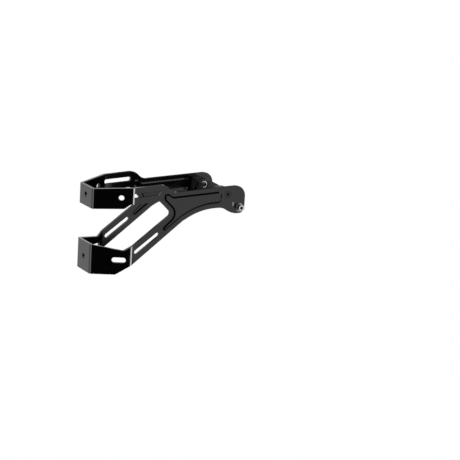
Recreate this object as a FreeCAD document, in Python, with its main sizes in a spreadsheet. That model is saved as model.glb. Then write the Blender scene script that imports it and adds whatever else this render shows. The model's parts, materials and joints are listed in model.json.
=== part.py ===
import FreeCAD, Part
import math
import os
import re
import Sketcher

# Saddle bottle cage mount: a folded sheet bracket held on two saddle rails by screwed jaws.
# Frame: origin midway between the two rail axes, +X towards the front of the bicycle, +Z up.
# The right-hand side is at -Y. Lengths in millimetres, angles in degrees.

driving_sizes = [
    ("sheetWall", "3.0", "thickness of the folded sheet"),
    ("bendRadius", "1.0", "inside radius of every fold"),
    ("plateSpan", "70.0", "width over the two side plates"),
    ("rearWidth", "30.0", "width of the rear faces, corner to corner"),
    ("legAngle", "29.0", "turn of a leg against its side plate"),
    ("rearReach", "152.6", "rear face behind the clamp centre"),
    ("upperBandTop", "17.4", "upper rear face, top edge above the rails"),
    ("upperBandHeight", "20.5", "upper rear face, height"),
    ("lowerBandTop", "39.3", "lower rear face, top edge below the rails"),
    ("lowerBandHeight", "30.9", "lower rear face, height"),
    ("upperLegRise", "2.8", "rise of the upper legs from rear face to fold"),
    ("lowerLegFall", "5.4", "fall of the lower legs' top edge to the arm"),
    ("stripEndReach", "81.8", "end of the upper strip behind the clamp centre"),
    ("stripTop", "21.9", "end of the upper strip, top edge"),
    ("shoulderReach", "71.9", "foot of the shoulder behind the clamp centre"),
    ("shoulderTop", "12.9", "foot of the shoulder above the rails"),
    ("shoulderRadius", "13.0", "both curves of the shoulder"),
    ("plateTop", "16.5", "top edge of the side plate at its front"),
    ("frontRadius", "12.0", "upper front corner of the side plate"),
    ("lugRadius", "6.4", "lug round the clamp bolt"),
    ("lugHeelReach", "0.7", "corner where the lug's foot begins, behind the clamp centre"),
    ("lugHeelRadius", "22.0", "its rounding"),
    ("bellyDrop", "6.4", "crown of the arched lower edge below the rails"),
    ("bellyFrontReach", "12.7", "front corner of the arch"),
    ("bellyFrontRadius", "18.0", "its rounding"),
    ("bellyReach", "38.2", "middle corner of the arch"),
    ("bellyRadius", "70.0", "curve of the arch"),
    ("bellyRearReach", "59.3", "corner where the arch meets the arm"),
    ("bellyRearDrop", "17.2", "its depth below the rails"),
    ("heelReach", "129.9", "corner where the arm's lower edge leaves the leg"),
    ("heelRise", "0.4", "its height above the foot of the lower band"),
    ("outlineRadius", "4.0", "common rounding of the outline's corners"),
    ("windowRadius", "1.4", "upper corners of the window"),
    ("notchReach", "122.9", "corner where the arm's upper edge meets the leg"),
    ("noseReach", "73.0", "front corner of the window behind the clamp centre"),
    ("noseDrop", "8.5", "front corner of the window below the rails"),
    ("noseRadius", "3.7", "its rounding"),
    ("windowTopReach", "86.7", "upper corner of the window"),
    ("windowTopRise", "4.7", "its height above the rails"),
    ("stripFoot", "3.2", "strip's lower edge at its rear end"),
    ("chamferTopReach", "119.2", "corner where that slope meets the strip's lower edge"),
    ("chamferReach", "124.3", "corner where the upper leg's lower edge turns up"),
    ("chamferRise", "1.6", "its height above the foot of the upper band"),
    ("stripSlotLength", "30.4", "slot in the upper strip, end to end"),
    ("stripSlotWidth", "4.6", "slot in the upper strip, width"),
    ("stripSlotInset", "0.1", "slot's rear end in front of the fold"),
    ("stripSlotLift", "8.9", "slot's centre above the strip's lower edge"),
    ("stripSlotRise", "1.6", "rise of the slot along its length"),
    ("armSlotLength", "32.4", "slot in the lower arm, end to end"),
    ("armSlotWidth", "4.4", "slot in the lower arm, width"),
    ("armSlotReach", "99.7", "slot's middle behind the clamp centre"),
    ("armSlotDrop", "37.7", "slot's middle below the rails"),
    ("armSlotAngle", "35.2", "slope of the arm's slot"),
    ("cageSpacing", "64.0", "bottle cage fixings, upper to lower"),
    ("cageHole", "5.5", "bottle cage holes, diameter"),
    ("cageSlotLength", "14.2", "bottle cage slot in the lower leg, end to end"),
    ("cageInset", "12.4", "leg fixings behind the fold, along the leg"),
    ("legHoleRise", "9.5", "upper leg hole above the rails"),
    ("rearHoleRise", "8.7", "upper rear hole above the rails"),
    ("panelDepth", "1.0", "height of the stamped panel"),
    ("panelDraft", "60.0", "slope of its walls"),
    ("panelRim", "4.1", "flat rim above the panel"),
    ("panelFootRim", "5.05", "flat rim below the panel"),
    ("panelFrontReach", "14.6", "front end of the panel"),
    ("panelFrontRadius", "4.6", "its corners"),
    ("panelTailReach", "82.0", "tip of the panel in the arm"),
    ("panelTailWidth", "5.5", "width of that tip"),
    ("panelTipRadius", "1.8", "corners of the tip and the stub"),
    ("panelNoseRim", "6.6", "panel's inner corner in front of the window"),
    ("panelNoseDrop", "0.5", "panel's inner corner below the window's"),
    ("panelNoseRadius", "8.3", "its rounding"),
    ("panelStubReach", "82.0", "tip of the panel below the shoulder"),
    ("panelStubTop", "12.2", "top of that tip above the rails"),
    ("panelStubWidth", "4.6", "width of that tip"),
    ("railSpacing", "44.0", "saddle rails, axis to axis"),
    ("railDiameter", "7.0", "saddle rails, diameter"),
    ("jawLength", "26.0", "jaws along the rail"),
    ("jawHeight", "24.0", "jaws, height"),
    ("jawBevelLength", "15.0", "slanted corners of a jaw, along the rail"),
    ("jawBevelHeight", "7.5", "slanted corners of a jaw, height"),
    ("jawRadius", "2.5", "rounding of a jaw's corners"),
    ("jawGap", "1.0", "gap between the jaws when they hold a rail"),
    ("innerJawDepth", "8.0", "inner jaw, thickness"),
    ("tabReach", "0.4", "locating tab behind the clamp centre"),
    ("tabDrop", "3.4", "locating tab below the rails"),
    ("tabWidth", "1.0", "locating tab, width"),
    ("tabHeight", "4.0", "locating tab, height"),
    ("tabClearance", "0.1", "slit round the tab, each side"),
    ("screwSpanLong", "14.7", "bolt to upper screw along the rail"),
    ("screwSpanHigh", "14.5", "bolt to upper screw, height"),
    ("screwDiameter", "4.0", "bolt and screw shanks"),
    ("screwHole", "4.4", "holes in plate and jaws"),
    ("screwTail", "1.5", "screw end past the inner jaw"),
    ("tipChamfer", "0.5", "chamfer on the screw ends"),
    ("threadClearance", "0.05", "nut bore over the shank, each side"),
    ("boltHead", "7.0", "socket head, diameter"),
    ("boltHeadHeight", "4.0", "socket head, height"),
    ("boltHeadChamfer", "0.4", "chamfered rim of the socket head"),
    ("boltSocket", "3.0", "hexagon socket across flats"),
    ("boltSocketDepth", "2.4", "hexagon socket, depth"),
    ("washerDiameter", "8.5", "washer, diameter"),
    ("washerHeight", "0.8", "washer, thickness"),
    ("flushHead", "7.5", "countersunk head, diameter"),
    ("flushSlope", "45.0", "slope of that head"),
    ("flushClearance", "0.05", "countersink round the flush head"),
    ("flushSocket", "2.5", "its hexagon socket across flats"),
    ("flushSocketDepth", "1.6", "its hexagon socket, depth"),
    ("nutAcross", "7.0", "nuts across flats"),
    ("nutHeight", "3.2", "nuts, height"),
    ("nutRecess", "0.2", "nuts below the face of the inner jaw"),
    ("nutClearance", "0.1", "pocket round a nut, each side"),
]

doc = FreeCAD.newDocument("saddle_cage_mount")
sheet = doc.addObject("Spreadsheet::Sheet", "Sizes")
aliases = set()
for row, (alias, value, note) in enumerate(driving_sizes, start=1):
    sheet.set(f"A{row}", note)
    sheet.set(f"B{row}", value)
    sheet.setAlias(f"B{row}", alias)
    aliases.add(alias)
doc.recompute()


def formula(text):
    """Points each size named in text at its cell."""
    return re.sub(r"[A-Za-z]\w*", lambda word: cell(word.group()), text)


def cell(word):
    return f"Sizes.{word}" if word in aliases else word


def number(text):
    return float(sheet.evalExpression(formula(text)))


def bind(target, place, text):
    target.setExpression(place, formula(text))


def new_body(label):
    body = doc.addObject("PartDesign::Body", label)
    body.Label = label
    return body


def origin_plane(body, role):
    return next(plane for plane in body.Origin.OriginFeatures if plane.Role == role)


def new_sketch(body, name, role, **offsets):
    """Sketch on an origin plane, shifted by the formulas given for its own x, y and z."""
    sketch = body.newObject("Sketcher::SketchObject", name)
    sketch.AttachmentSupport = (origin_plane(body, role), [""])
    sketch.MapMode = "FlatFace"
    for axis, text in offsets.items():
        bind(sketch, f".AttachmentOffset.Base.{axis}", text)
    return sketch


def fix_point(sketch, geometry, end, x, y):
    """Holds one point of a curve at the formulas x and y."""
    for kind, text in (("DistanceX", x), ("DistanceY", y)):
        index = sketch.addConstraint(Sketcher.Constraint(kind, -1, 1, geometry, end, number(text)))
        bind(sketch, f"Constraints[{index}]", text)


def fix_radius(sketch, geometry, text):
    index = sketch.addConstraint(Sketcher.Constraint("Radius", geometry, number(text)))
    bind(sketch, f"Constraints[{index}]", text)


def add_circle(sketch, x, y, diameter):
    middle = FreeCAD.Vector(number(x), number(y), 0)
    radius = f"({diameter}) / 2"
    index = sketch.addGeometry(Part.Circle(middle, FreeCAD.Vector(0, 0, 1), number(radius)))
    fix_point(sketch, index, 3, x, y)
    fix_radius(sketch, index, radius)


def round_corner(before, corner, after, radius):
    """Arc that rounds a corner, with its ends on the two edges and its sense of turn."""
    back = (before - corner).normalize()
    ahead = (after - corner).normalize()
    half = back.getAngle(ahead) / 2
    middle = corner + (back + ahead).normalize() * (radius / math.sin(half))
    start = corner + back * (radius / math.tan(half))
    finish = corner + ahead * (radius / math.tan(half))
    turns_left = ahead.cross(back).z > 0
    first, last = (start, finish) if turns_left else (finish, start)
    circle = Part.Circle(middle, FreeCAD.Vector(0, 0, 1), radius)
    arc = Part.ArcOfCircle(circle, circle.parameter(first), circle.parameter(last))
    return arc, start, finish, turns_left


def add_outline(sketch, corners):
    """Closed outline through corners (x, y, rounding), each a formula, rounding 0 for a sharp corner."""
    points = [FreeCAD.Vector(number(x), number(y), 0) for x, y, _ in corners]
    count = len(points)
    arrive = list(points)
    leave = list(points)
    arcs = {}
    for k, (_, _, rounding) in enumerate(corners):
        if rounding != "0":
            arc, arrive[k], leave[k], turns_left = round_corner(
                points[k - 1], points[k], points[(k + 1) % count], number(rounding))
            arcs[k] = (sketch.addGeometry(arc), turns_left)
    edges = []
    for k in range(count):
        edges.append(sketch.addGeometry(Part.LineSegment(leave[k], arrive[(k + 1) % count])))
    for k, (x, y, rounding) in enumerate(corners):
        edge_in, edge_out = edges[k - 1], edges[k]
        if k not in arcs:
            sketch.addConstraint(Sketcher.Constraint("Coincident", edge_in, 2, edge_out, 1))
            fix_point(sketch, edge_out, 1, x, y)
            continue
        mark = sketch.addGeometry(Part.Point(points[k]), True)
        fix_point(sketch, mark, 1, x, y)
        arc, turns_left = arcs[k]
        first, last = (1, 2) if turns_left else (2, 1)
        sketch.addConstraint(Sketcher.Constraint("PointOnObject", mark, 1, edge_in))
        sketch.addConstraint(Sketcher.Constraint("PointOnObject", mark, 1, edge_out))
        sketch.addConstraint(Sketcher.Constraint("Tangent", edge_in, 2, arc, first))
        sketch.addConstraint(Sketcher.Constraint("Tangent", arc, last, edge_out, 1))
        fix_radius(sketch, arc, rounding)


def add_slot(sketch, x, y, length, width, angle):
    """Round-ended slot about a middle point, turned by angle."""
    half = f"(({length}) - ({width})) / 2"
    radius = number(f"({width}) / 2")
    turn = math.radians(number(angle))
    up = FreeCAD.Vector(0, 0, 1)
    side = FreeCAD.Vector(-math.sin(turn), math.cos(turn), 0) * radius
    centres = []
    arcs = []
    for sign in (1, -1):
        place_x = f"({x}) + {sign} * {half} * cos({angle})"
        place_y = f"({y}) + {sign} * {half} * sin({angle})"
        centre = FreeCAD.Vector(number(place_x), number(place_y), 0)
        circle = Part.Circle(centre, up, radius)
        start = circle.parameter(centre - side * sign)
        finish = circle.parameter(centre + side * sign)
        arc = sketch.addGeometry(Part.ArcOfCircle(circle, start, finish))
        fix_point(sketch, arc, 3, place_x, place_y)
        centres.append(centre)
        arcs.append(arc)
    top = sketch.addGeometry(Part.LineSegment(centres[0] + side, centres[1] + side))
    foot = sketch.addGeometry(Part.LineSegment(centres[1] - side, centres[0] - side))
    for line, begins, ends in ((top, arcs[0], arcs[1]), (foot, arcs[1], arcs[0])):
        sketch.addConstraint(Sketcher.Constraint("Tangent", begins, 2, line, 1))
        sketch.addConstraint(Sketcher.Constraint("Tangent", line, 2, ends, 1))
    fix_radius(sketch, arcs[0], f"({width}) / 2")


def add_hexagon(sketch, x, y, across):
    corners = []
    for k in range(6):
        turn = 60 * k
        corners.append((f"({x}) + ({across}) / sqrt(3) * cos({turn})",
                        f"({y}) + ({across}) / sqrt(3) * sin({turn})", "0"))
    add_outline(sketch, corners)


def add_feature(body, kind, sketch):
    feature = body.newObject(f"PartDesign::{kind}", f"{sketch.Name}_{kind.lower()}")
    feature.Profile = sketch
    sketch.Visibility = False
    return feature


def pad(body, sketch, length, backwards=False, draft=None):
    feature = add_feature(body, "Pad", sketch)
    feature.Reversed = backwards
    bind(feature, "Length", length)
    if draft:
        bind(feature, "TaperAngle", f"-({draft})")
    doc.recompute()
    return feature


def pocket(body, sketch, length=None, backwards=False, draft=None):
    """Cut to a depth, or right through both ways where no depth is given."""
    before = body.Shape.Volume
    feature = add_feature(body, "Pocket", sketch)
    feature.Reversed = backwards
    if length:
        bind(feature, "Length", length)
    else:
        feature.Type = "ThroughAll"
        feature.SideType = "Symmetric"
    if draft:
        bind(feature, "TaperAngle", f"-({draft})")
    doc.recompute()
    if body.Shape.Volume >= before:
        raise RuntimeError(f"{feature.Name} cuts nothing")
    return feature


def revolve(body, sketch):
    feature = add_feature(body, "Revolution", sketch)
    feature.ReferenceAxis = (sketch, ["V_Axis"])
    feature.Angle = 360
    doc.recompute()
    return feature


def mirror(body, features):
    """Repeats features on the other side plate."""
    copy = body.newObject("PartDesign::Mirrored", f"{body.Name}_mirrored")
    copy.Originals = features
    copy.MirrorPlane = (origin_plane(body, "XZ_Plane"), [""])
    body.Tip = copy
    doc.recompute()
    return copy


# Places that several pieces share
rear_x = "-rearReach"
past_rear_x = "-(rearReach + sheetWall)"
fold_x = "(-rearReach + (plateSpan - rearWidth) / 2 / tan(legAngle))"
upper_foot = "(upperBandTop - upperBandHeight)"
lower_top = "-lowerBandTop"
lower_foot = "-(lowerBandTop + lowerBandHeight)"
bolt_x = "(screwSpanLong / 2)"
bolt_z = "(-screwSpanHigh / 2)"
upper_screw_x = "(-screwSpanLong / 2)"
upper_screw_z = "(screwSpanHigh / 2)"
front_x = f"({bolt_x} + lugRadius)"
lug_foot = f"({bolt_z} - lugRadius)"
flush_height = "((flushHead - screwDiameter) / 2 / tan(flushSlope))"
plate_face = "(plateSpan / 2)"
plate_inside = "(plateSpan / 2 - sheetWall)"
outer_jaw_face = "(railSpacing / 2 + jawGap / 2)"
inner_jaw_face = "(railSpacing / 2 - jawGap / 2)"
inner_jaw_back = f"({inner_jaw_face} - innerJawDepth)"
screw_tip = f"({inner_jaw_back} - screwTail)"


def top_line(x):
    """Height of the side plate's top edge at x."""
    along = f"(({x}) + shoulderReach) / ({front_x} + shoulderReach)"
    return f"(shoulderTop + (plateTop - shoulderTop) * {along})"


def sheet_plan(sketch):
    """Plan of the folded strip: side plate, leg, rear face, leg, side plate, at its wall thickness."""
    open_end = f"({front_x} + sheetWall)"
    inner_fold_x = f"({fold_x} + sheetWall * tan(legAngle / 2))"
    inner_rear_x = "(-rearReach + sheetWall)"
    inner_rear_y = "(rearWidth / 2 - sheetWall * tan(45 - legAngle / 2))"
    outer_radius = "bendRadius + sheetWall"
    half = [
        (open_end, plate_face, "0"),
        (fold_x, plate_face, outer_radius),
        (rear_x, "(rearWidth / 2)", outer_radius),
    ]
    inner_half = [
        (open_end, plate_inside, "0"),
        (inner_fold_x, plate_inside, "bendRadius"),
        (inner_rear_x, inner_rear_y, "bendRadius"),
    ]
    outside = [(x, f"-{y}", r) for x, y, r in half] + half[::-1]
    inside = inner_half + [(x, f"-{y}", r) for x, y, r in inner_half[::-1]]
    add_outline(sketch, outside + inside)


def side_view(sketch):
    """Side view of the whole bracket inside a frame of waste that the cut takes away."""
    lowest = f"({lower_foot} - 2 * sheetWall)"
    highest = "(stripTop + 2 * sheetWall)"
    rear = "-(rearReach + 2 * sheetWall)"
    front = f"({front_x} + 2 * sheetWall)"
    add_outline(sketch, [
        (rear, lowest, "0"),
        (front, lowest, "0"),
        (front, highest, "0"),
        (rear, highest, "0"),
    ])
    add_outline(sketch, [
        (past_rear_x, "upperBandTop", "0"),
        (rear_x, "upperBandTop", "0"),
        (fold_x, "upperBandTop + upperLegRise", "0"),
        ("-stripEndReach", "stripTop", "shoulderRadius"),
        ("-shoulderReach", "shoulderTop", "shoulderRadius"),
        (front_x, "plateTop", "frontRadius"),
        (front_x, lug_foot, "lugRadius"),
        ("-lugHeelReach", lug_foot, "lugHeelRadius"),
        ("-bellyFrontReach", "-bellyDrop", "bellyFrontRadius"),
        ("-bellyReach", "-bellyDrop", "bellyRadius"),
        ("-bellyRearReach", "-bellyRearDrop", "outlineRadius"),
        ("-heelReach", f"{lower_foot} + heelRise", "outlineRadius"),
        (rear_x, lower_foot, "0"),
        (past_rear_x, lower_foot, "0"),
        (past_rear_x, lower_top, "0"),
        (rear_x, lower_top, "0"),
        ("-notchReach", f"{lower_top} - lowerLegFall", "outlineRadius"),
        ("-noseReach", "-noseDrop", "noseRadius"),
        ("-windowTopReach", "windowTopRise", "windowRadius"),
        ("-chamferTopReach", "stripFoot", "windowRadius"),
        ("-chamferReach", f"{upper_foot} + chamferRise", "outlineRadius"),
        (rear_x, upper_foot, "0"),
        (past_rear_x, upper_foot, "0"),
    ])


def panel_outline(sketch):
    """Y-shaped panel: stem below the top edge, one branch to the shoulder, one down the arm."""
    stem_foot = "(-bellyDrop + panelFootRim)"
    arch_slope = "((bellyRearDrop - bellyDrop) / (bellyReach - bellyRearReach))"
    arm_slope = f"(({lower_foot} + heelRise + bellyRearDrop) / (bellyRearReach - heelReach))"
    arch_turn = f"atan(-{arch_slope})"
    arm_turn = f"atan({arm_slope})"
    arch_x = f"-(bellyReach + panelFootRim * tan({arch_turn} / 2))"
    crotch_way = f"(panelFootRim / cos(({arm_turn} - {arch_turn}) / 2))"
    crotch_x = f"(-bellyRearReach - {crotch_way} * sin(({arm_turn} + {arch_turn}) / 2))"
    crotch_z = f"(-bellyRearDrop + {crotch_way} * cos(({arm_turn} + {arch_turn}) / 2))"
    tail_z = f"({crotch_z} + {arm_slope} * (-panelTailReach - {crotch_x}))"
    inner_x = "(-noseReach + panelNoseRim)"
    inner_z = "-(noseDrop + panelNoseDrop)"
    window_slope = "((windowTopRise + noseDrop) / (noseReach - windowTopReach))"
    stub_z = f"({inner_z} + {window_slope} * (-panelStubReach - {inner_x}))"
    add_outline(sketch, [
        ("-shoulderReach", "shoulderTop - panelRim", "outlineRadius"),
        ("-panelFrontReach", f"{top_line('-panelFrontReach')} - panelRim", "panelFrontRadius"),
        ("-panelFrontReach", stem_foot, "panelFrontRadius"),
        (arch_x, stem_foot, "bellyRadius + panelFootRim"),
        (crotch_x, crotch_z, "outlineRadius"),
        ("-panelTailReach", tail_z, "panelTipRadius"),
        ("-panelTailReach", f"{tail_z} + panelTailWidth", "panelTipRadius"),
        (inner_x, inner_z, "panelNoseRadius"),
        ("-panelStubReach", stub_z, "panelTipRadius"),
        ("-panelStubReach", "panelStubTop", "panelTipRadius"),
        ("-panelStubReach + panelStubWidth", "panelStubTop", "panelTipRadius"),
    ])


def leg_sketch(body, name):
    """Sketch on the outer face of the right leg: x along the leg from its fold, y up."""
    sketch = new_sketch(body, name, "XZ_Plane", x=fold_x, z=plate_face)
    sketch.AttachmentOffset = FreeCAD.Placement(
        sketch.AttachmentOffset.Base, FreeCAD.Rotation(FreeCAD.Vector(0, -1, 0), number("legAngle")))
    bind(sketch, ".AttachmentOffset.Rotation.Angle", "legAngle")
    return sketch


def make_bracket():
    body = new_body("bracket")
    plan = new_sketch(body, "bracket_plan", "XY_Plane", z=f"{lower_foot} - sheetWall")
    sheet_plan(plan)
    pad(body, plan, f"stripTop - {lower_foot} + 2 * sheetWall")
    view = new_sketch(body, "bracket_side", "XZ_Plane")
    side_view(view)
    pocket(body, view)

    cuts = new_sketch(body, "bracket_slots", "XZ_Plane")
    slot_x = f"{fold_x} + stripSlotInset + stripSlotLength / 2"
    slot_z = "stripFoot + stripSlotLift + stripSlotRise / 2"
    slot_turn = "atan(stripSlotRise / stripSlotLength)"
    add_slot(cuts, slot_x, slot_z, "stripSlotLength", "stripSlotWidth", slot_turn)
    add_slot(cuts, "-armSlotReach", "-armSlotDrop", "armSlotLength", "armSlotWidth", "armSlotAngle")
    add_circle(cuts, bolt_x, bolt_z, "screwHole")
    add_circle(cuts, upper_screw_x, upper_screw_z, "screwHole")
    tab_outline(cuts, "tabClearance")
    pocket(body, cuts)

    rear = new_sketch(body, "rear_holes", "YZ_Plane", z="-rearReach - sheetWall")
    add_circle(rear, "0", "rearHoleRise", "cageHole")
    add_circle(rear, "0", "rearHoleRise - cageSpacing", "cageHole")
    pocket(body, rear, "3 * sheetWall", backwards=True)

    leg = leg_sketch(body, "leg_fixings")
    add_circle(leg, "-cageInset", "legHoleRise", "cageHole")
    add_slot(leg, "-cageInset", "legHoleRise - cageSpacing", "cageSlotLength", "cageHole", "0")
    leg_cut = pocket(body, leg, "2 * sheetWall")

    sink = new_sketch(body, "countersink", "XZ_Plane", z=plate_face)
    add_circle(sink, upper_screw_x, upper_screw_z, "flushHead + 2 * flushClearance")
    sink_cut = pocket(body, sink, flush_height, draft="flushSlope")

    boss = new_sketch(body, "panel_boss", "XZ_Plane", z=plate_face)
    panel_outline(boss)
    boss_pad = pad(body, boss, "panelDepth", draft="panelDraft")
    hollow = new_sketch(body, "panel_hollow", "XZ_Plane", z=plate_inside)
    panel_outline(hollow)
    hollow_cut = pocket(body, hollow, "panelDepth", backwards=True, draft="panelDraft")
    mirror(body, [leg_cut, sink_cut, boss_pad, hollow_cut])
    return body


def tab_outline(sketch, clearance):
    """Upright locating tab of the outer jaw, or the slit for it, wider by a clearance."""
    half_width = f"(tabWidth / 2 + {clearance})"
    half_height = f"(tabHeight / 2 + {clearance})"
    add_outline(sketch, [
        (f"-tabReach - {half_width}", f"-tabDrop - {half_height}", "0"),
        (f"-tabReach + {half_width}", f"-tabDrop - {half_height}", "0"),
        (f"-tabReach + {half_width}", f"-tabDrop + {half_height}", "0"),
        (f"-tabReach - {half_width}", f"-tabDrop + {half_height}", "0"),
    ])


def jaw_outline(sketch):
    """Side view of a jaw: a block with two slanted corners and both screw holes."""
    half_length = "(jawLength / 2)"
    half_height = "(jawHeight / 2)"
    add_outline(sketch, [
        (f"-{half_length}", half_height, "jawRadius"),
        (f"-{half_length}", f"-{half_height} + jawBevelHeight", "jawRadius"),
        (f"-{half_length} + jawBevelLength", f"-{half_height}", "jawRadius"),
        (half_length, f"-{half_height}", "jawRadius"),
        (half_length, f"{half_height} - jawBevelHeight", "jawRadius"),
        (f"{half_length} - jawBevelLength", half_height, "jawRadius"),
    ])
    add_circle(sketch, bolt_x, bolt_z, "screwHole")
    add_circle(sketch, upper_screw_x, upper_screw_z, "screwHole")


def across(side, text):
    """Shift of a side-view sketch to the distance text from the middle, on one side."""
    return f"{-side} * ({text})"


def cut_rail_groove(body, side):
    groove = new_sketch(body, f"{body.Name}_groove", "YZ_Plane")
    add_circle(groove, f"{side} * railSpacing / 2", "0", "railDiameter")
    pocket(body, groove)


def make_outer_jaw(name, side):
    body = new_body(f"{name}_outer_jaw")
    block = new_sketch(body, f"{name}_outer_block", "XZ_Plane", z=across(side, plate_inside))
    jaw_outline(block)
    pad(body, block, f"{plate_inside} - {outer_jaw_face}", backwards=side < 0)
    cut_rail_groove(body, side)
    tab = new_sketch(body, f"{name}_jaw_tab", "XZ_Plane", z=across(side, plate_inside))
    tab_outline(tab, "0")
    pad(body, tab, "sheetWall", backwards=side > 0)
    return body


def make_inner_jaw(name, side):
    body = new_body(f"{name}_inner_jaw")
    block = new_sketch(body, f"{name}_inner_block", "XZ_Plane", z=across(side, inner_jaw_face))
    jaw_outline(block)
    pad(body, block, "innerJawDepth", backwards=side < 0)
    cut_rail_groove(body, side)
    seats = new_sketch(body, f"{name}_nut_seats", "XZ_Plane", z=across(side, inner_jaw_back))
    add_hexagon(seats, bolt_x, bolt_z, "nutAcross + 2 * nutClearance")
    add_hexagon(seats, upper_screw_x, upper_screw_z, "nutAcross + 2 * nutClearance")
    pocket(body, seats, "nutHeight + nutRecess", backwards=side < 0)
    return body


def shank_profile(side, under_head):
    """Half section of a screw from its axis at the tip up to the underside of its head."""
    radius = "(screwDiameter / 2)"
    return [
        ("0", f"{side} * {screw_tip}", "0"),
        (f"{radius} - tipChamfer", f"{side} * {screw_tip}", "0"),
        (radius, f"{side} * ({screw_tip} + tipChamfer)", "0"),
        (radius, f"{side} * {under_head}", "0"),
    ]


def cut_socket(body, name, side, place, face, width, depth):
    socket = new_sketch(body, f"{name}_socket", "XZ_Plane", z=across(side, face))
    add_hexagon(socket, place[0], place[1], width)
    pocket(body, socket, depth, backwards=side > 0)


def make_clamp_bolt(name, side):
    seat = f"({plate_face} + washerHeight)"
    face = f"({seat} + boltHeadHeight)"
    body = new_body(f"{name}_clamp_bolt")
    section = new_sketch(body, f"{name}_bolt_section", "XY_Plane", x=bolt_x, z=bolt_z)
    add_outline(section, shank_profile(side, seat) + [
        ("boltHead / 2", f"{side} * {seat}", "0"),
        ("boltHead / 2", f"{side} * ({face} - boltHeadChamfer)", "0"),
        ("boltHead / 2 - boltHeadChamfer", f"{side} * {face}", "0"),
        ("0", f"{side} * {face}", "0"),
    ])
    revolve(body, section)
    cut_socket(body, f"{name}_bolt", side, (bolt_x, bolt_z), face, "boltSocket", "boltSocketDepth")
    return body


def make_upper_screw(name, side):
    neck = f"({plate_face} - {flush_height})"
    body = new_body(f"{name}_upper_screw")
    section = new_sketch(body, f"{name}_screw_section", "XY_Plane", x=upper_screw_x, z=upper_screw_z)
    add_outline(section, shank_profile(side, neck) + [
        ("flushHead / 2", f"{side} * {plate_face}", "0"),
        ("0", f"{side} * {plate_face}", "0"),
    ])
    revolve(body, section)
    cut_socket(body, f"{name}_screw", side, (upper_screw_x, upper_screw_z), plate_face,
               "flushSocket", "flushSocketDepth")
    return body


def make_washer(name, side):
    body = new_body(f"{name}_clamp_washer")
    ring = new_sketch(body, f"{name}_washer_ring", "XZ_Plane", z=across(side, plate_face))
    add_circle(ring, bolt_x, bolt_z, "washerDiameter")
    add_circle(ring, bolt_x, bolt_z, "screwHole")
    pad(body, ring, "washerHeight", backwards=side > 0)
    return body


def make_nut(name, side, place):
    body = new_body(name)
    seat = f"({inner_jaw_back} + nutRecess + nutHeight)"
    ring = new_sketch(body, f"{name}_hexagon", "XZ_Plane", z=across(side, seat))
    add_hexagon(ring, place[0], place[1], "nutAcross")
    add_circle(ring, place[0], place[1], "screwDiameter + 2 * threadClearance")
    pad(body, ring, "nutHeight", backwards=side < 0)
    return body


nodes = [make_bracket()]
for name, side in (("right", -1), ("left", 1)):
    nodes.append(make_outer_jaw(name, side))
    nodes.append(make_inner_jaw(name, side))
    nodes.append(make_clamp_bolt(name, side))
    nodes.append(make_washer(name, side))
    nodes.append(make_upper_screw(name, side))
    nodes.append(make_nut(f"{name}_lower_nut", side, (bolt_x, bolt_z)))
    nodes.append(make_nut(f"{name}_upper_nut", side, (upper_screw_x, upper_screw_z)))
doc.recompute()

for item in doc.Objects:
    if "Invalid" in item.State or "Error" in item.State:
        raise RuntimeError(f"{item.Name} failed: {item.State}")
for node in nodes:
    if node.Shape.isNull() or not node.Shape.isValid() or not node.Shape.Solids:
        raise RuntimeError(f"{node.Label} has no valid shape")

os.makedirs("parts", exist_ok=True)
for node in nodes:
    node.Shape.exportStep(f"parts/{node.Label}.step")
    print(node.Label, len(node.Shape.Solids), "solid", round(node.Shape.Volume, 1), "mm3")
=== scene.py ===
import json
import math

import bmesh
import bpy
from mathutils import Matrix, Vector

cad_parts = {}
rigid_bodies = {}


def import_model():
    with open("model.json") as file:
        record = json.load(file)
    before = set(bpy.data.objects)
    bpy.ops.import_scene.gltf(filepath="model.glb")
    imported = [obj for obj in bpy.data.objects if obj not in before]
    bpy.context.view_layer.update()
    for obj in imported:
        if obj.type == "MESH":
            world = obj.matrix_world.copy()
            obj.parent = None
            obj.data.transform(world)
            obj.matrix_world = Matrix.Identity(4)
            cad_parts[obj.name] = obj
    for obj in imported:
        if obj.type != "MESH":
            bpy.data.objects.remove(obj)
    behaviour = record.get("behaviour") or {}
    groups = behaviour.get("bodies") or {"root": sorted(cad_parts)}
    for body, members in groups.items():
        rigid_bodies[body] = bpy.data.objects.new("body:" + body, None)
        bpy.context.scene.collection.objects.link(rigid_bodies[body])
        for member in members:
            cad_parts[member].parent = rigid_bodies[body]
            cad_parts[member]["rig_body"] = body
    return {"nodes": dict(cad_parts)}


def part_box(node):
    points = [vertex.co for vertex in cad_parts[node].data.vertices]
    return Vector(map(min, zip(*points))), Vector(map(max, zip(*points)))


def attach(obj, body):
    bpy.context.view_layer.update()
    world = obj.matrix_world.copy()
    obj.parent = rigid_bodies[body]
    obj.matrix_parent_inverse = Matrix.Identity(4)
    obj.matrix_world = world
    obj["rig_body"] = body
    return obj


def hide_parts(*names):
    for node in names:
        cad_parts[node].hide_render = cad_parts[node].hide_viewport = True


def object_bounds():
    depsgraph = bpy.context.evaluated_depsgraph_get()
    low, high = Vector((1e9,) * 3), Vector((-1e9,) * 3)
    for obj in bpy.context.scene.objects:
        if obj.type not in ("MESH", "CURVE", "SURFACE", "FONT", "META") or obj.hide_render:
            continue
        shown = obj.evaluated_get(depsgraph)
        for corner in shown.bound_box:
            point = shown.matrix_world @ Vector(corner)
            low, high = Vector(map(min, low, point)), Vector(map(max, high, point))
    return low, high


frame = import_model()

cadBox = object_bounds()
mm = 0.001
scene = bpy.context.scene
scene.view_settings.view_transform = "Standard"
sides = {"right": -1, "left": 1}  # each side and the sign of Y on its outside
print("frame loaded:", len(frame["nodes"]), "pieces")


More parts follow.
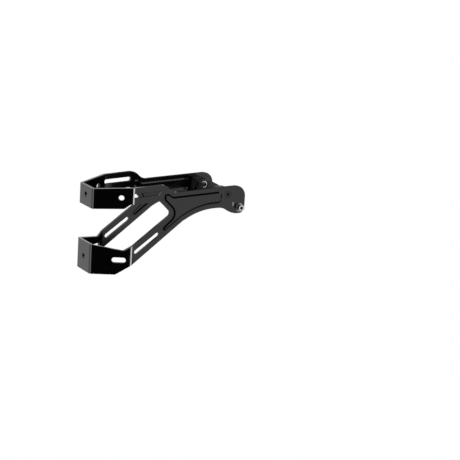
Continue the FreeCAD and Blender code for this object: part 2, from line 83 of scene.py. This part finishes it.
def hexToLinear(text):
    channels = [int(text[k:k + 2], 16) / 255 for k in (1, 3, 5)]
    linear = [c / 12.92 if c <= 0.04045 else ((c + 0.055) / 1.055) ** 2.4 for c in channels]
    return (*linear, 1.0)


def addNode(tree, kind, settings=None, links=None):  # small names are properties, others are sockets
    node = tree.nodes.new(kind)
    for name, value in (settings or {}).items():
        if isinstance(name, str) and name[0].islower():
            setattr(node, name, value)
        else:
            node.inputs[name].default_value = value
    for name, source in (links or {}).items():
        tree.links.new(source, node.inputs[name])
    return node


def newMaterial(name):
    material = bpy.data.materials.new(name)
    material.use_nodes = True
    material.node_tree.nodes.clear()
    return material, material.node_tree


# Finishes

mixShare, mixFirst, mixSecond, mixResult = 0, 6, 7, 2  # sockets of a Mix node that mixes colours
noiseLow, noiseHigh = 0.3, 0.7  # most of a noise texture's values lie between these
waveStep = math.pi / 10  # from ring to ring of a wave texture at a scale of 1

coatFinish = {
    "colour": "#030303",
    "thinColour": "#0b0b0b",  # where the coat draws thin over an edge
    "cloudMm": 45.0,
    "peelMm": 1.4,
    "peelHeightMm": 0.0016,
    "roughLow": 0.09,
    "roughHigh": 0.15,
    "edgeRough": 0.06,
}


# Gloss black coat: the eye sees reflections and a faint orange peel
def powderCoatedAluminium(name, look):
    material, tree = newMaterial(name)
    place = addNode(tree, "ShaderNodeTexCoord").outputs["Object"]
    edge = addNode(tree, "ShaderNodeAttribute", {"attribute_name": "edgeWear"}).outputs["Fac"]
    cloud = addNode(tree, "ShaderNodeTexNoise", {
        "Scale": 1 / (look["cloudMm"] * mm), "Detail": 3.0,
    }, {"Vector": place})
    peel = addNode(tree, "ShaderNodeTexNoise", {
        "Scale": 1 / (look["peelMm"] * mm), "Detail": 2.0,
    }, {"Vector": place})
    thin = addNode(tree, "ShaderNodeMath", {"operation": "MULTIPLY"}, {0: edge, 1: cloud.outputs["Fac"]})
    colour = addNode(tree, "ShaderNodeMix", {
        "data_type": "RGBA",
        mixFirst: hexToLinear(look["colour"]), mixSecond: hexToLinear(look["thinColour"]),
    }, {mixShare: thin.outputs[0]})
    gloss = addNode(tree, "ShaderNodeMapRange", {
        "From Min": noiseLow, "From Max": noiseHigh,
        "To Min": look["roughLow"], "To Max": look["roughHigh"],
    }, {"Value": cloud.outputs["Fac"]})
    rough = addNode(tree, "ShaderNodeMath", {
        "operation": "MULTIPLY_ADD", 1: look["edgeRough"],
    }, {0: edge, 2: gloss.outputs[0]})
    bump = addNode(tree, "ShaderNodeBump", {
        "Distance": look["peelHeightMm"] * mm,
    }, {"Height": peel.outputs["Fac"]})
    shader = addNode(tree, "ShaderNodeBsdfPrincipled", {"IOR": 1.5}, {
        "Base Color": colour.outputs[mixResult],
        "Roughness": rough.outputs[0], "Normal": bump.outputs[0],
    })
    addNode(tree, "ShaderNodeOutputMaterial", None, {"Surface": shader.outputs[0]})
    return material


jawFinish = {
    "colour": "#0b0b0c",
    "paleColour": "#151517",
    "bareColour": "#bcbec1",
    "grainMm": 0.5,  # blasting leaves about 0.1 mm, drawn coarser so that it shows
    "grainHeightMm": 0.004,
    "cloudMm": 9.0,
    "roughLow": 0.26,
    "roughHigh": 0.38,
}


# Blasted, then dyed black: satin and softly grainy to the eye, bare where it was ground
def blackAnodisedAluminium(name, look):
    material, tree = newMaterial(name)
    place = addNode(tree, "ShaderNodeTexCoord").outputs["Object"]
    bare = addNode(tree, "ShaderNodeAttribute", {"attribute_name": "bareEnd"}).outputs["Fac"]
    cloud = addNode(tree, "ShaderNodeTexNoise", {
        "Scale": 1 / (look["cloudMm"] * mm), "Detail": 4.0,
    }, {"Vector": place})
    grain = addNode(tree, "ShaderNodeTexNoise", {
        "Scale": 1 / (look["grainMm"] * mm), "Detail": 3.0,
    }, {"Vector": place})
    dye = addNode(tree, "ShaderNodeMix", {
        "data_type": "RGBA",
        mixFirst: hexToLinear(look["colour"]), mixSecond: hexToLinear(look["paleColour"]),
    }, {mixShare: cloud.outputs["Fac"]})
    colour = addNode(tree, "ShaderNodeMix", {
        "data_type": "RGBA", mixSecond: hexToLinear(look["bareColour"]),
    }, {mixShare: bare, mixFirst: dye.outputs[mixResult]})
    rough = addNode(tree, "ShaderNodeMapRange", {
        "From Min": noiseLow, "From Max": noiseHigh,
        "To Min": look["roughLow"], "To Max": look["roughHigh"],
    }, {"Value": grain.outputs["Fac"]})
    bump = addNode(tree, "ShaderNodeBump", {
        "Distance": look["grainHeightMm"] * mm,
    }, {"Height": grain.outputs["Fac"]})
    shader = addNode(tree, "ShaderNodeBsdfPrincipled", None, {
        "Base Color": colour.outputs[mixResult], "Metallic": bare,
        "Roughness": rough.outputs[0], "Normal": bump.outputs[0],
    })
    addNode(tree, "ShaderNodeOutputMaterial", None, {"Surface": shader.outputs[0]})
    return material


platedFinish = {
    "colour": "#c4c5c7",
    "darkColour": "#a8a9ab",
    # painted shade: the inside of the hex socket is coloured near black, standing in for the shade in the
    # recess
    "socketShadeColour": "#0d0d0e",
    "socketRough": 0.4,
    "turnMm": 0.30,  # tool marks round the axis
    "turnHeightMm": 0.003,
    "cloudMm": 2.5,
    "roughLow": 0.14,
    "roughHigh": 0.26,
}
oxideFinish = dict(platedFinish, colour="#38383a", darkColour="#303032", roughLow=0.16, roughHigh=0.24)


# Turned, then plated or blackened: fine rings of tool marks; the socket recess is painted dark as shade
def turnedSteel(name, look, axis):
    material, tree = newMaterial(name)
    place = addNode(tree, "ShaderNodeTexCoord").outputs["Object"]
    socket = addNode(tree, "ShaderNodeAttribute", {"attribute_name": "inSocket"}).outputs["Fac"]
    centred = addNode(tree, "ShaderNodeMapping", {"Location": (-axis.x, 0.0, -axis.z)}, {"Vector": place})
    cloud = addNode(tree, "ShaderNodeTexNoise", {
        "Scale": 1 / (look["cloudMm"] * mm), "Detail": 3.0,
    }, {"Vector": place})
    turns = addNode(tree, "ShaderNodeTexWave", {
        "wave_type": "RINGS", "rings_direction": "Y", "Scale": waveStep / (look["turnMm"] * mm),
        "Distortion": 0.6, "Detail": 1.0, "Detail Scale": 2.0,
    }, {"Vector": centred.outputs[0]})
    plating = addNode(tree, "ShaderNodeMix", {
        "data_type": "RGBA",
        mixFirst: hexToLinear(look["colour"]), mixSecond: hexToLinear(look["darkColour"]),
    }, {mixShare: cloud.outputs["Fac"]})
    # painted shade: faces marked inSocket take the dark socket colour
    colour = addNode(tree, "ShaderNodeMix", {
        "data_type": "RGBA", mixSecond: hexToLinear(look["socketShadeColour"]),
    }, {mixShare: socket, mixFirst: plating.outputs[mixResult]})
    gloss = addNode(tree, "ShaderNodeMapRange", {
        "To Min": look["roughLow"], "To Max": look["roughHigh"],
    }, {"Value": turns.outputs["Fac"]})
    rough = addNode(tree, "ShaderNodeMath", {
        "operation": "MULTIPLY_ADD", 1: look["socketRough"],
    }, {0: socket, 2: gloss.outputs[0]})
    bump = addNode(tree, "ShaderNodeBump", {
        "Distance": look["turnHeightMm"] * mm,
    }, {"Height": turns.outputs["Fac"]})
    shader = addNode(tree, "ShaderNodeBsdfPrincipled", {"Metallic": 1.0}, {
        "Base Color": colour.outputs[mixResult],
        "Roughness": rough.outputs[0], "Normal": bump.outputs[0],
    })
    addNode(tree, "ShaderNodeOutputMaterial", None, {"Surface": shader.outputs[0]})
    return material


def middleOf(node):
    low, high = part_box(node)
    return (low + high) / 2


boltAxis = middleOf("right_clamp_bolt")
screwAxis = middleOf("right_upper_screw")
blackCoat = powderCoatedAluminium("powderCoatedAluminium", coatFinish)
jawMetal = blackAnodisedAluminium("blackAnodisedAluminium", jawFinish)
boltSteel = turnedSteel("zincPlatedSteel", platedFinish, boltAxis)
nutSteel = turnedSteel("zincPlatedNutSteel", platedFinish, screwAxis)
screwSteel = turnedSteel("blackOxideSteel", oxideFinish, screwAxis)
print("finishes made:", len(bpy.data.materials))


# Shared modelling steps

meshing = {
    "joinMm": 0.002,
    "cadJoinMm": 0.001,
    "flatDeg": 0.2,  # CAD facets closer to flat than this become one face
    "easeSteps": 4,
    "easedSharpDeg": 28,  # stamped edges turn by 30, the steps of an eased edge by less
    "turnedSharpDeg": 32,
}


def placePiece(bm, name, node, material, sharpDeg=meshing["turnedSharpDeg"]):
    bmesh.ops.remove_doubles(bm, verts=bm.verts, dist=meshing["joinMm"] * mm)
    bmesh.ops.recalc_face_normals(bm, faces=bm.faces)
    mesh = bpy.data.meshes.new(name)
    bm.to_mesh(mesh)
    bm.free()
    if "custom_normal" in mesh.attributes:  # came with the CAD facets
        mesh.attributes.remove(mesh.attributes["custom_normal"])
    mesh.shade_smooth()
    mesh.set_sharp_from_angle(angle=math.radians(sharpDeg))
    mesh.materials.append(material)
    piece = bpy.data.objects.new(name, mesh)
    scene.collection.objects.link(piece)
    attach(piece, frame["nodes"][node]["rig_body"])
    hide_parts(node)
    return piece


def outwards(side, point):  # local +Z to the outside of a side plate, at a point
    return Matrix.Translation(point) @ Matrix.Rotation(math.radians(-90 * sides[side]), 4, "X")


def loopVerts(edges):
    return list({vert for edge in edges for vert in edge.verts})


def ringLoop(bm, count, radius, height):
    verts = bmesh.ops.create_circle(bm, segments=count, radius=radius)["verts"]
    bmesh.ops.translate(bm, vec=(0, 0, height), verts=verts)
    return list({edge for vert in verts for edge in vert.link_edges})


def hexLoop(bm, count, across, height):  # ring pushed out to a hexagon, corner on X
    edges = ringLoop(bm, count, across / 2, height)
    for vert in loopVerts(edges):
        fromFlat = math.degrees(math.atan2(vert.co.y, vert.co.x)) % 60 - 30  # from the middle of a flat
        vert.co.xy /= math.cos(math.radians(fromFlat))
    return edges


def pullIn(bm, edges, depth, scale=1.0):  # carries a loop on along Z and narrows it
    made = bmesh.ops.extrude_edge_only(bm, edges=edges)["geom"]
    verts = [item for item in made if isinstance(item, bmesh.types.BMVert)]
    bmesh.ops.translate(bm, vec=(0, 0, depth), verts=verts)
    bmesh.ops.scale(bm, vec=(scale, scale, 1), verts=verts)
    return [item for item in made if isinstance(item, bmesh.types.BMEdge) and item.is_boundary]


def spinProfile(bm, profile, count):  # profile of (radius, height), turned once round Z
    verts = [bm.verts.new((radius, 0, height)) for radius, height in profile]
    edges = [bm.edges.new(pair) for pair in zip(verts, verts[1:])]
    bmesh.ops.spin(bm, geom=verts + edges, cent=(0, 0, 0), axis=(0, 0, 1), dvec=(0, 0, 0),
                   angle=math.tau, steps=count, use_merge=True)


def softCopy(node, name, material, look):  # the CAD solid with its sharp edges eased
    bm = bmesh.new()
    bm.from_mesh(frame["nodes"][node].data)
    bmesh.ops.remove_doubles(bm, verts=bm.verts, dist=meshing["cadJoinMm"] * mm)
    flat = math.radians(meshing["flatDeg"])
    bmesh.ops.dissolve_limit(bm, angle_limit=flat, verts=bm.verts, edges=bm.edges)
    wear = bm.faces.layers.float.new("edgeWear")
    sharp = [edge for edge in bm.edges if edge.calc_face_angle(0) > math.radians(look["sharpDeg"])]
    eased = bmesh.ops.bevel(bm, geom=sharp, offset=look["easeMm"] * mm, offset_type="OFFSET",
                            affect="EDGES", segments=meshing["easeSteps"], profile=0.5, material=-1,
                            clamp_overlap=False)
    for face in eased["faces"]:
        face[wear] = 1.0
    bare = bm.faces.layers.float.new("bareEnd")
    outside = max(abs(vert.co.y) for vert in bm.verts)
    for face in bm.faces:
        face[bare] = float(abs(face.calc_center_median().y) > outside - look["bareMm"] * mm)
    piece = placePiece(bm, name, node, material, meshing["easedSharpDeg"])
    piece.modifiers.new("flatFaces", "WEIGHTED_NORMAL").keep_sharp = True
    return piece


# Folded sheet

sheetEdges = {"easeMm": 0.25, "sharpDeg": 55, "bareMm": 0.0}  # stamped and countersunk edges stay crisp
bracket = softCopy("bracket", "foldedBracket", blackCoat, sheetEdges)
print("bracket:", len(bracket.data.polygons), "faces")


# Jaws

jawEdges = {  # the outer jaw's tab is ground flush with the plate, so its end is bare
    "outer": {"easeMm": 0.15, "sharpDeg": 24, "bareMm": 0.4},
    "inner": {"easeMm": 0.35, "sharpDeg": 24, "bareMm": 0.0},
}
for side in sides:
    for jaw, look in jawEdges.items():
        piece = softCopy(f"{side}_{jaw}_jaw", f"{side}{jaw.title()}Jaw", jawMetal, look)
    print(side, "jaws:", len(piece.data.polygons), "faces on the inner one")


# Clamp bolts and flush screws

boltMake = {
    "ridges": 42,
    "ridgeMm": 0.14,
    "footMm": 0.5,
    "roundMm": 0.45,
    "roundSteps": 4,
    "socketMm": 3.0,
    "socketDepthMm": 2.4,
    "socketRimMm": 0.2,
    "pointMm": 0.5,
}
screwMake = {
    "landMm": 0.12,
    "steps": 84,
    "socketMm": 2.5,
    "socketDepthMm": 1.6,
    "socketRimMm": 0.15,
    "pointMm": 0.3,
}
threadMake = {
    "shankMm": 4.0,
    "pitchMm": 0.7,
    "depthMm": 0.38,
    "lengthMm": 10.0,
    "tipMm": 0.5,
    "steps": 36,
    "rowsPerTurn": 6,
}


def sinkSocket(bm, top, count, make):  # from the open ring on top down into a hexagon socket
    dark = bm.faces.layers.float.new("inSocket")
    rim = [edge for edge in bm.edges if edge.is_boundary]
    mouth = hexLoop(bm, count, make["socketMm"] * mm, top - make["socketRimMm"] * mm)
    bmesh.ops.bridge_loops(bm, edges=rim + mouth)
    outside = set(bm.faces)
    floor = pullIn(bm, mouth, -make["socketDepthMm"] * mm)
    pullIn(bm, floor, -make["pointMm"] * mm, 0.0)
    # the socket's inner faces are marked for the painted shade colour and extra roughness
    for face in set(bm.faces) - outside:
        face[dark] = 1.0


def rollThread(tip, top, make):  # threaded end and plain neck as two closed rods
    bm = bmesh.new()
    radius = make["shankMm"] * mm / 2
    pitch = make["pitchMm"] * mm
    length = make["lengthMm"] * mm
    bmesh.ops.create_cone(bm, cap_ends=True, segments=make["steps"], radius1=radius, radius2=radius,
                          depth=length)
    bmesh.ops.translate(bm, vec=(0, 0, tip + length / 2), verts=bm.verts)
    upright = [edge for edge in bm.edges if abs(edge.verts[0].co.z - edge.verts[1].co.z) > length / 2]
    rows = round(length / pitch * make["rowsPerTurn"])
    bmesh.ops.subdivide_edges(bm, edges=upright, cuts=rows - 1, use_grid_fill=True)
    for vert in bm.verts:
        turn = math.atan2(vert.co.y, vert.co.x) / math.tau
        share = abs(2 * ((vert.co.z / pitch - turn) % 1) - 1)  # 1 on a crest, 0 in a root
        limit = radius - make["tipMm"] * mm + (vert.co.z - tip)
        wanted = min(radius - (1 - share) * make["depthMm"] * mm, limit)
        vert.co.xy *= wanted / vert.co.xy.length
    neck = bmesh.ops.create_cone(bm, cap_ends=True, segments=make["steps"], radius1=radius, radius2=radius,
                                 depth=top - tip - length)
    bmesh.ops.translate(bm, vec=(0, 0, (top + tip + length) / 2), verts=neck["verts"])
    return bm


def capBolt(side):
    node = f"{side}_clamp_bolt"
    low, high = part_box(node)
    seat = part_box(f"{side}_clamp_washer")
    radius = (high.x - low.x) / 2
    face = high.y if sides[side] > 0 else low.y
    seatY = seat[1].y if sides[side] > 0 else seat[0].y
    height = abs(face - seatY)
    bend = boltMake["roundMm"] * mm
    turns = [math.radians(90 * k / boltMake["roundSteps"]) for k in range(boltMake["roundSteps"] + 1)]
    crown = [(radius - bend + bend * math.cos(t), height - bend + bend * math.sin(t)) for t in turns]
    foot = boltMake["footMm"] * mm
    ease = foot / 3  # small chamfer under the head
    rim = boltMake["socketMm"] * mm / math.sqrt(3) + boltMake["socketRimMm"] * mm
    count = 2 * boltMake["ridges"]
    bm = rollThread(height - abs(high.y - low.y), foot, threadMake)
    spinProfile(bm, [
        (0, 0), (radius - ease, 0), (radius, ease), (radius, foot), *crown, (rim, height),
    ], count)
    bmesh.ops.remove_doubles(bm, verts=bm.verts, dist=meshing["joinMm"] * mm)
    for vert in bm.verts:  # straight knurl on the side of the head
        turn = math.atan2(vert.co.y, vert.co.x) / math.tau * count
        onSide = foot / 2 < vert.co.z < height - bend / 2 and vert.co.xy.length > radius - bend / 2
        if onSide and round(turn) % 2:
            vert.co.xy *= 1 - boltMake["ridgeMm"] * mm / radius
    sinkSocket(bm, height, count, boltMake)
    bmesh.ops.transform(bm, matrix=outwards(side, (boltAxis.x, seatY, boltAxis.z)), verts=bm.verts)
    return placePiece(bm, f"{side}CapBolt", node, boltSteel)


def flushScrew(side):
    node = f"{side}_upper_screw"
    low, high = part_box(node)
    radius = (high.x - low.x) / 2
    face = high.y if sides[side] > 0 else low.y
    shank = threadMake["shankMm"] * mm / 2
    neck = shank - radius  # a right-angled countersink is as deep as it is wide
    land = screwMake["landMm"] * mm
    rim = screwMake["socketMm"] * mm / math.sqrt(3) + screwMake["socketRimMm"] * mm
    bm = rollThread(-abs(high.y - low.y), neck + land, threadMake)
    spinProfile(bm, [
        (0, neck), (shank, neck), (radius, -land / 2), (radius - land / 2, 0), (rim, 0),
    ], screwMake["steps"])
    bmesh.ops.remove_doubles(bm, verts=bm.verts, dist=meshing["joinMm"] * mm)
    sinkSocket(bm, 0.0, screwMake["steps"], screwMake)
    bmesh.ops.transform(bm, matrix=outwards(side, (screwAxis.x, face, screwAxis.z)), verts=bm.verts)
    return placePiece(bm, f"{side}FlushScrew", node, screwSteel)


for side in sides:
    bolt = capBolt(side)
    screw = flushScrew(side)
    print(side, "bolt:", len(bolt.data.polygons), "faces, screw:", len(screw.data.polygons))


# Washers and nuts

washerMake = {"steps": 72, "easeMm": 0.12, "boreMm": 4.4}
nutMake = {"perFlat": 12, "chamferDeg": 30, "crownShare": 0.95, "boreMm": 4.1, "mouthMm": 0.3}


def roundWasher(side):
    node = f"{side}_clamp_washer"
    low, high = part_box(node)
    outer = (high.x - low.x) / 2
    bore = washerMake["boreMm"] * mm / 2
    height = high.y - low.y
    ease = washerMake["easeMm"] * mm
    inside = low.y if sides[side] > 0 else high.y
    bm = bmesh.new()
    spinProfile(bm, [
        (bore, 0), (outer - ease / 2, 0), (outer, ease / 2), (outer, height - ease),
        (outer - ease, height), (bore + ease, height), (bore, height - ease), (bore, 0),
    ], washerMake["steps"])
    bmesh.ops.transform(bm, matrix=outwards(side, (boltAxis.x, inside, boltAxis.z)), verts=bm.verts)
    return placePiece(bm, f"{side}Washer", node, boltSteel)


def hexNut(side, level, steel):
    node = f"{side}_{level}_nut"
    low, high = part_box(node)
    across = high.z - low.z  # flats lie above and below
    half = (high.y - low.y) / 2
    count = 6 * nutMake["perFlat"]
    crown = across / 2 * nutMake["crownShare"]
    bore = nutMake["boreMm"] * mm / 2
    mouth = nutMake["mouthMm"] * mm
    slope = math.tan(math.radians(nutMake["chamferDeg"]))
    bm = bmesh.new()
    loops = []
    for end in (1, -1):
        flats = hexLoop(bm, count, across, 0.0)
        for vert in loopVerts(flats):  # the chamfer cuts the corners lower than the flats
            vert.co.z = end * (half - (vert.co.xy.length - crown) * slope)
        rings = [
            flats,
            ringLoop(bm, count, crown, end * half),
            ringLoop(bm, count, bore + mouth, end * half),
            ringLoop(bm, count, bore, end * (half - mouth)),
        ]
        loops += rings if end > 0 else rings[::-1]
    for first, second in zip(loops, loops[1:] + loops[:1]):
        bmesh.ops.bridge_loops(bm, edges=first + second)
    bmesh.ops.transform(bm, matrix=outwards(side, middleOf(node)), verts=bm.verts)
    return placePiece(bm, f"{side}{level.title()}Nut", node, steel)


for side in sides:
    washer = roundWasher(side)
    nuts = [hexNut(side, "lower", boltSteel), hexNut(side, "upper", nutSteel)]
    print(side, "washer:", len(washer.data.polygons), "faces, nut:", len(nuts[0].data.polygons))


# Camera

photoCamera = {
    "azimuthDeg": -32.174,
    "elevationDeg": 14.191,
    "rollDeg": 3.841,  # the bracket hangs a little nose-up
    "distance": 1.35,
    "aim": (-0.0315, -0.0819, -0.0171),
    "focalPixels": 1350,
    "framePixels": 460,
    "sensorMm": 36.0,
    "clipNear": 0.01,
    "clipFar": 50.0,
}


def setCamera(look):
    azimuth = math.radians(look["azimuthDeg"])
    elevation = math.radians(look["elevationDeg"])
    roll = math.radians(look["rollDeg"])
    back = Vector((
        math.sin(azimuth) * math.cos(elevation),
        -math.cos(azimuth) * math.cos(elevation),
        math.sin(elevation),
    ))
    level = Vector((math.cos(azimuth), math.sin(azimuth), 0))
    upright = back.cross(level)
    right = level * math.cos(roll) + upright * math.sin(roll)
    up = back.cross(right)
    data = bpy.data.cameras.new("photoCamera")
    data.sensor_width = look["sensorMm"]
    data.lens = look["focalPixels"] / look["framePixels"] * look["sensorMm"]
    data.clip_start = look["clipNear"]
    data.clip_end = look["clipFar"]
    camera = bpy.data.objects.new("photoCamera", data)
    turn = Matrix((right, up, back)).transposed().to_4x4()
    camera.matrix_world = Matrix.Translation(Vector(look["aim"]) + back * look["distance"]) @ turn
    scene.collection.objects.link(camera)
    scene.camera = camera


setCamera(photoCamera)


# Floor, surroundings and lamps

studio = {
    "floorDrop": 0.48,  # the mount hangs well above the floor
    "floorRadius": 6.0,
    "floorSteps": 96,
    "floorColour": "#f1f1ef",
    "shadowShare": 0.35,
    "fadeStart": 0.2,
    "fadeEnd": 0.55,
    "skyLight": 0.45,
    "white": "#ffffff",
}


def raysThatSee(tree):  # camera, glossy and transmission rays see the white surroundings
    path = addNode(tree, "ShaderNodeLightPath")
    seen = addNode(tree, "ShaderNodeMath", {"operation": "MAXIMUM"}, {
        0: path.outputs["Is Camera Ray"], 1: path.outputs["Is Glossy Ray"],
    })
    return addNode(tree, "ShaderNodeMath", {"operation": "MAXIMUM"}, {
        0: seen.outputs[0], 1: path.outputs["Is Transmission Ray"],
    }).outputs[0]


def setWorld(look):
    world = bpy.data.worlds.new("whiteStudio")
    scene.world = world
    world.use_nodes = True
    tree = world.node_tree
    tree.nodes.clear()
    strength = addNode(tree, "ShaderNodeMapRange", {
        "To Min": look["skyLight"], "To Max": 1.0,
    }, {"Value": raysThatSee(tree)})
    sky = addNode(tree, "ShaderNodeBackground", {
        "Color": hexToLinear(look["white"]),
    }, {"Strength": strength.outputs[0]})
    addNode(tree, "ShaderNodeOutputWorld", None, {"Surface": sky.outputs[0]})


def paleFloorPaint(look, middle):  # matt pale board: white to the eye, darker only in the soft shadow
    material, tree = newMaterial("paleFloorPaint")
    place = addNode(tree, "ShaderNodeTexCoord").outputs["Object"]
    centred = addNode(tree, "ShaderNodeMapping", {"Location": -middle}, {"Vector": place})
    away = addNode(tree, "ShaderNodeVectorMath", {"operation": "LENGTH"}, {0: centred.outputs[0]})
    share = addNode(tree, "ShaderNodeMapRange", {
        "From Min": look["fadeStart"], "From Max": look["fadeEnd"],
        "To Min": 1 - look["shadowShare"], "To Max": 1.0,
    }, {"Value": away.outputs["Value"]})
    glow = addNode(tree, "ShaderNodeMath", {"operation": "MULTIPLY"}, {
        0: share.outputs[0], 1: raysThatSee(tree),
    })
    matt = addNode(tree, "ShaderNodeBsdfDiffuse", {"Color": hexToLinear(look["floorColour"])})
    white = addNode(tree, "ShaderNodeEmission", {"Color": hexToLinear(look["white"]), "Strength": 1.0})
    both = addNode(tree, "ShaderNodeMixShader", None, {
        0: glow.outputs[0], 1: matt.outputs[0], 2: white.outputs[0],
    })
    addNode(tree, "ShaderNodeOutputMaterial", None, {"Surface": both.outputs[0]})
    return material


def layFloor(look):
    low, high = cadBox
    bm = bmesh.new()
    bmesh.ops.create_circle(bm, cap_ends=True, segments=look["floorSteps"], radius=look["floorRadius"])
    middle = Vector(((low.x + high.x) / 2, 0, low.z - look["floorDrop"]))
    bmesh.ops.translate(bm, vec=middle, verts=bm.verts)
    mesh = bpy.data.meshes.new("paleFloor")
    bm.to_mesh(mesh)
    bm.free()
    mesh.materials.append(paleFloorPaint(look, middle))
    floor = bpy.data.objects.new("paleFloor", mesh)
    scene.collection.objects.link(floor)


lamps = {  # places and sizes in metres; matt and gloss say which surfaces see the lamp
    "keySoftbox": {
        "middle": (0.0, -1.3, -0.1), "facing": (-0.05, 1, 0), "wide": 0.95, "tall": 0.9,
        "radiance": 4.6, "matt": True, "gloss": False, "spreadDeg": 180,
    },
    "rearSoftbox": {
        "middle": (-1.34, -0.27, 0.0), "facing": (0.98, 0.21, 0), "wide": 0.4, "tall": 1.0,
        "radiance": 3.0, "matt": True, "gloss": True, "spreadDeg": 180,
    },
    "topSoftbox": {
        "middle": (-0.07, 0.0, 1.5), "facing": (0, 0, -1), "wide": 1.4, "tall": 1.4,
        "radiance": 1.6, "matt": True, "gloss": True, "spreadDeg": 180,
    },
    "foldLamp": {  # small, gridded and close, for the bright line along the near folds
        "middle": (-0.1176, -0.043, -0.0225), "facing": (0, 1, 0), "wide": 0.0075, "tall": 0.087,
        "radiance": 3.3, "matt": False, "gloss": True, "spreadDeg": 80,
    },
}


def hangLamp(name, look):
    data = bpy.data.lights.new(name, "AREA")
    data.shape = "RECTANGLE"
    data.size = look["wide"]
    data.size_y = look["tall"]
    data.spread = math.radians(look["spreadDeg"])
    data.energy = look["radiance"] * math.pi * look["wide"] * look["tall"]
    lamp = bpy.data.objects.new(name, data)
    lamp.location = look["middle"]
    lamp.rotation_euler = Vector(look["facing"]).to_track_quat("-Z", "Y").to_euler()
    lamp.visible_camera = False
    lamp.visible_diffuse = look["matt"]
    lamp.visible_glossy = look["gloss"]
    scene.collection.objects.link(lamp)


flagColour = "#050505"
flags = {  # black cards that only gloss mirrors, places and sizes in metres
    "sideFlag": {"middle": (-0.98, -1.19, -0.2), "facing": (0.61, 0.79, 0), "wide": 1.25, "tall": 1.4},
    "roofFlag": {"middle": (0.0135, 0.12, 0.05), "facing": (0, 0, -1), "wide": 0.143, "tall": 0.14},
    "browFlag": {"middle": (-0.015, -0.08, 0.05), "facing": (0, 0, -1), "wide": 0.10, "tall": 0.06},
    "frontFlag": {"middle": (0.11, 0.0, -0.08), "facing": (-1, 0, 0), "wide": 0.13, "tall": 0.22},
    "lowFlag": {"middle": (-0.05, -0.1225, -0.12), "facing": (0, 0, 1), "wide": 0.26, "tall": 0.185},
    "kneeFlag": {"middle": (-0.42, -0.62, -0.3), "facing": (0, 0, 1), "wide": 0.5, "tall": 0.6},
    "archFlag": {
        "middle": (-0.165, -0.388, 0.15), "facing": (0.187, 0.879, -0.438), "wide": 0.30, "tall": 0.24,
    },
    "innerFlag": {"middle": (-0.015, -0.029, -0.0115), "facing": (0, 1, 0), "wide": 0.09, "tall": 0.011},
}


def blackCloth():  # matt cloth that swallows light
    material, tree = newMaterial("blackFlagCloth")
    cloth = addNode(tree, "ShaderNodeBsdfDiffuse", {"Color": hexToLinear(flagColour)})
    addNode(tree, "ShaderNodeOutputMaterial", None, {"Surface": cloth.outputs[0]})
    return material


def hangFlag(name, look, material):
    bm = bmesh.new()
    bmesh.ops.create_grid(bm, x_segments=1, y_segments=1, size=0.5)  # one metre square
    bmesh.ops.scale(bm, vec=(look["wide"], look["tall"], 1), verts=bm.verts)
    turn = Vector(look["facing"]).to_track_quat("Z", "Y").to_matrix().to_4x4()
    bmesh.ops.transform(bm, matrix=Matrix.Translation(look["middle"]) @ turn, verts=bm.verts)
    mesh = bpy.data.meshes.new(name)
    bm.to_mesh(mesh)
    bm.free()
    mesh.materials.append(material)
    cloth = bpy.data.objects.new(name, mesh)
    cloth.visible_camera = False
    cloth.visible_diffuse = False
    cloth.visible_shadow = False
    scene.collection.objects.link(cloth)


setWorld(studio)
layFloor(studio)
for name, look in lamps.items():
    hangLamp(name, look)
cloth = blackCloth()
for name, look in flags.items():
    hangFlag(name, look, cloth)
print("studio lit with", len(lamps), "lamps and", len(flags), "flags")
